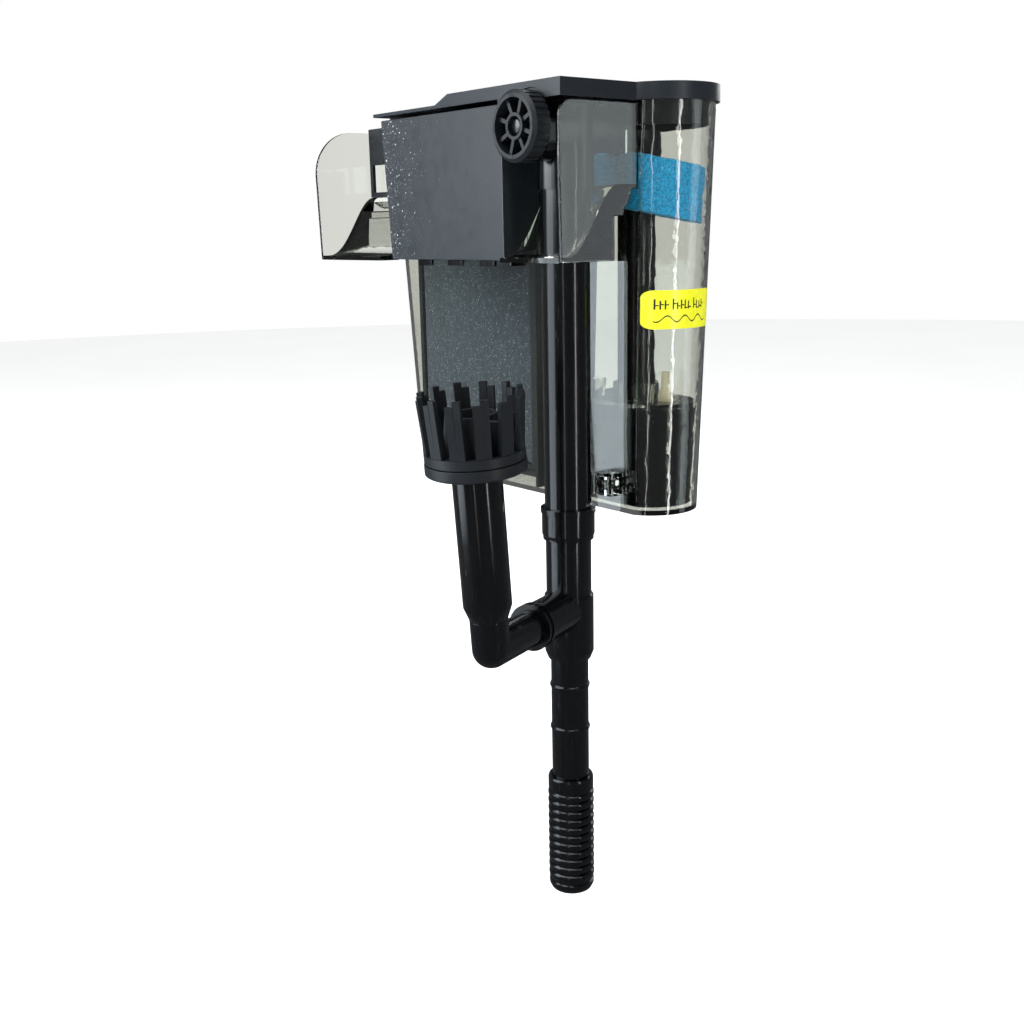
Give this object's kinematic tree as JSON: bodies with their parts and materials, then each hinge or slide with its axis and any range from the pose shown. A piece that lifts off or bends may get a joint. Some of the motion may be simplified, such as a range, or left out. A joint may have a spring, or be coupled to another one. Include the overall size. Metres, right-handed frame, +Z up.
{
  "type": "hang-on-back aquarium filter",
  "caption": "Clear reservoir that hooks over a tank's rim, with a winged return chute, black lid and outlet box, knob-controlled intake tube, strainer and side surface skimmer.",
  "frame": {"origin": "middle of the seat that rests on the top edge of the tank's glass wall", "axes": "+X along the glass towards the pump end, +Y away from the water, +Z up"},
  "size_m": [0.2256, 0.1734, 0.387],
  "materials": {
    "clear_smoke": "clear smoke-tinted moulding",
    "satin_black": "satin black plastic",
    "gloss_black": "polished black plastic",
    "grey_pad": "grey carbon-loaded filter pad",
    "black_foam": "coarse black foam",
    "blue_foam": "open-cell blue foam",
    "ceramic": "fired ceramic",
    "magnet": "ferrite magnet",
    "core_steel": "laminated core",
    "copper": "copper winding",
    "rubber": "black rubber",
    "cream": "cream plastic",
    "yellow_label": "printed yellow film",
    "white_plastic": "white acetal"
  },
  "bodies": {
    "reservoir": {"reservoir_tub": "clear_smoke", "partition_plate": "satin_black", "spout_chute": "clear_smoke", "left_wing": "clear_smoke", "right_wing": "clear_smoke", "weir_frame": "satin_black", "outlet_box": "satin_black", "outlet_grille": "satin_black", "outlet_box_tabs": "satin_black", "intake_bridge": "satin_black", "stem_seal": "rubber", "main_tube": "gloss_black", "tube_coupler": "gloss_black", "mid_tube": "gloss_black", "skimmer_tee": "gloss_black", "down_pipe": "gloss_black", "motor_housing": "gloss_black", "stator_core": "core_steel", "stator_coil": "copper", "impeller_cover": "clear_smoke", "bleed_nozzle": "cream", "shaft_bushes": "rubber", "ceramic_shaft": "ceramic", "cord_gland": "rubber", "media_grid": "satin_black", "cartridge_frame": "satin_black", "cartridge_pad": "grey_pad", "coarse_sponge": "black_foam", "ceramic_rings": "ceramic", "blue_sponge": "blue_foam", "foot_guide": "clear_smoke", "level_label": "yellow_label"},
    "lid": {"lid": "satin_black", "lid_inner_skirt": "satin_black"},
    "knob": {"flow_knob": "satin_black", "valve_stem": "gloss_black", "valve_plug": "white_plastic", "knob_screw": "gloss_black"},
    "rotor": {"rotor_magnet": "magnet", "impeller": "white_plastic"},
    "lower_tube": {"lower_tube": "gloss_black"},
    "strainer": {"strainer": "gloss_black"},
    "skimmer_arm": {"skimmer_elbow": "gloss_black", "riser_tube": "gloss_black"},
    "skimmer_cup": {"skimmer_cup": "satin_black", "skimmer_crown": "satin_black", "skimmer_vanes": "satin_black"},
    "skimmer_float": {"skimmer_float": "satin_black"},
    "levelling_foot": {"levelling_foot": "clear_smoke"}
  },
  "joints": [
    {"name": "lid_lift", "type": "slide", "parent": "reservoir", "child": "lid", "axis": [0, 0, 1], "range_m": [0, 0.05]},
    {"name": "knob_turn", "type": "hinge", "parent": "reservoir", "child": "knob", "pos_m": [0.08, -0.04, 0.0378], "axis": [0, -1, 0], "range_deg": [0, 270]},
    {"name": "impeller_spin", "type": "hinge", "parent": "reservoir", "child": "rotor", "pos_m": [0.08, 0.031, -0.1], "axis": [0, 0, 1], "continuous": true},
    {"name": "tube_extend", "type": "slide", "parent": "reservoir", "child": "lower_tube", "axis": [0, 0, 1], "range_m": [-0.006, 0.012]},
    {"name": "strainer_pull", "type": "slide", "parent": "lower_tube", "child": "strainer", "axis": [0, 0, -1], "range_m": [0, 0.02]},
    {"name": "skimmer_swivel", "type": "hinge", "parent": "reservoir", "child": "skimmer_arm", "pos_m": [0.09124, -0.0484, -0.182], "axis": [-0.3123, 0.95, 0], "range_deg": [-60, 75]},
    {"name": "cup_height", "type": "slide", "parent": "skimmer_arm", "child": "skimmer_cup", "axis": [0.0146, -0.0778, 0.9969], "range_m": [0, 0.015]},
    {"name": "float_travel", "type": "slide", "parent": "skimmer_cup", "child": "skimmer_float", "axis": [0.0146, -0.0778, 0.9969], "range_m": [0, 0.012]},
    {"name": "foot_reach", "type": "slide", "parent": "reservoir", "child": "levelling_foot", "axis": [0, -1, 0], "range_m": [0, 0.0035]}
  ]
}
